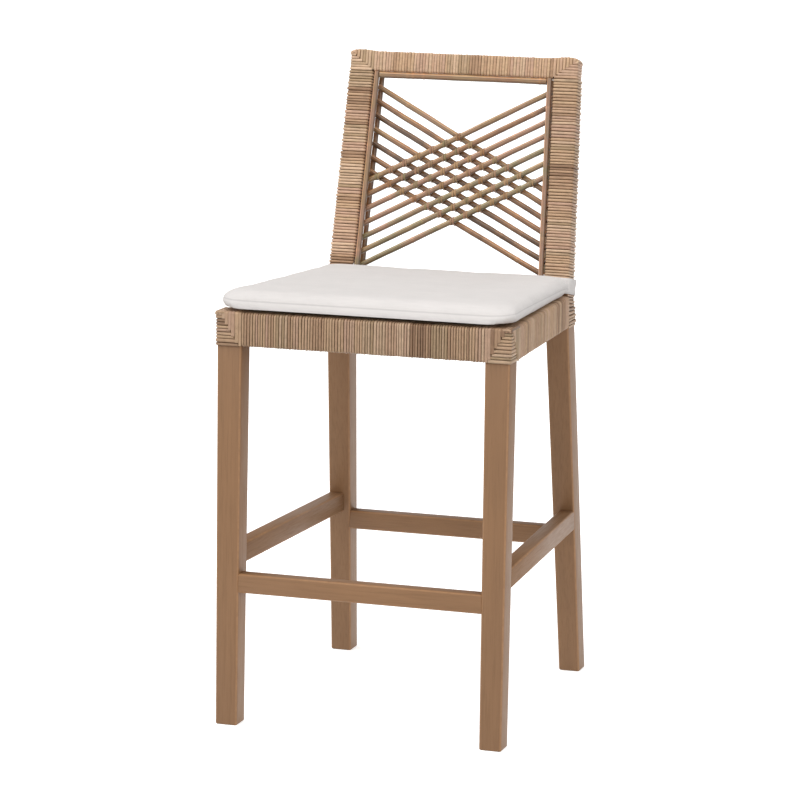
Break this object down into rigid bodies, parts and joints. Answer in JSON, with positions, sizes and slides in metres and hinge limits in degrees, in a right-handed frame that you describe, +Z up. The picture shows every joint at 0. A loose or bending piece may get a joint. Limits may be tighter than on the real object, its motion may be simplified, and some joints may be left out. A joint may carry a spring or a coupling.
{
  "type": "bar stool",
  "caption": "Counter-height bar stool with footrest, tapered wooden legs, rattan-bound seat and back frame, crossed rattan pole back and a tied-on seat cushion.",
  "frame": {"origin": "middle of the overall box, on the floor under the feet", "axes": "+Z up, +Y towards the back, +X to the right of someone who looks at the stool from the front"},
  "size_m": [0.4496, 0.5358, 0.9703],
  "materials": {
    "stained_wood": "smooth taupe-brown stained hardwood, satin lacquer",
    "plywood": "plain plywood, unlacquered",
    "rattan_peel": "wound rattan peel strands, matt with a slight natural gloss",
    "rattan_pole": "round peeled rattan poles, satin",
    "cotton": "off-white plain woven cotton",
    "steel": "zinc plated"
  },
  "bodies": {
    "root": {"back_top_rail": "stained_wood", "corner_block_front_left": "stained_wood", "corner_block_front_right": "stained_wood", "corner_block_rear_left": "stained_wood", "corner_block_rear_right": "stained_wood", "corner_bolt_front_left": "steel", "corner_bolt_front_right": "steel", "corner_bolt_rear_left": "steel", "corner_bolt_rear_right": "steel", "cross_pole_bottom": "rattan_pole", "cross_pole_top": "rattan_pole", "cushion": "cotton", "cushion_tie_left": "cotton", "cushion_tie_right": "cotton", "footrest": "stained_wood", "front_apron_wrap": "rattan_peel", "front_corner_wrap_left": "rattan_peel", "front_corner_wrap_right": "rattan_peel", "front_leg_left": "stained_wood", "front_leg_right": "stained_wood", "front_seat_rail": "stained_wood", "lattice_falling_1": "rattan_pole", "lattice_falling_2": "rattan_pole", "lattice_falling_3": "rattan_pole", "lattice_falling_4": "rattan_pole", "lattice_falling_5": "rattan_pole", "lattice_falling_6": "rattan_pole", "lattice_falling_7": "rattan_pole", "lattice_rising_1": "rattan_pole", "lattice_rising_2": "rattan_pole", "lattice_rising_3": "rattan_pole", "lattice_rising_4": "rattan_pole", "lattice_rising_5": "rattan_pole", "lattice_rising_6": "rattan_pole", "lattice_rising_7": "rattan_pole", "post_wrap_left": "rattan_peel", "post_wrap_right": "rattan_peel", "rear_apron_wrap": "rattan_peel", "rear_corner_wrap_left": "rattan_peel", "rear_corner_wrap_right": "rattan_peel", "rear_leg_left": "stained_wood", "rear_leg_right": "stained_wood", "rear_seat_rail": "stained_wood", "rear_stretcher": "stained_wood", "seat_panel": "plywood", "side_apron_wrap_left": "rattan_peel", "side_apron_wrap_right": "rattan_peel", "side_pole_front_left": "rattan_pole", "side_pole_front_right": "rattan_pole", "side_pole_rear_left": "rattan_pole", "side_pole_rear_right": "rattan_pole", "side_seat_rail_left": "stained_wood", "side_seat_rail_right": "stained_wood", "side_stretcher_left": "stained_wood", "side_stretcher_right": "stained_wood", "top_rail_wrap": "rattan_peel"}
  },
  "joints": []
}
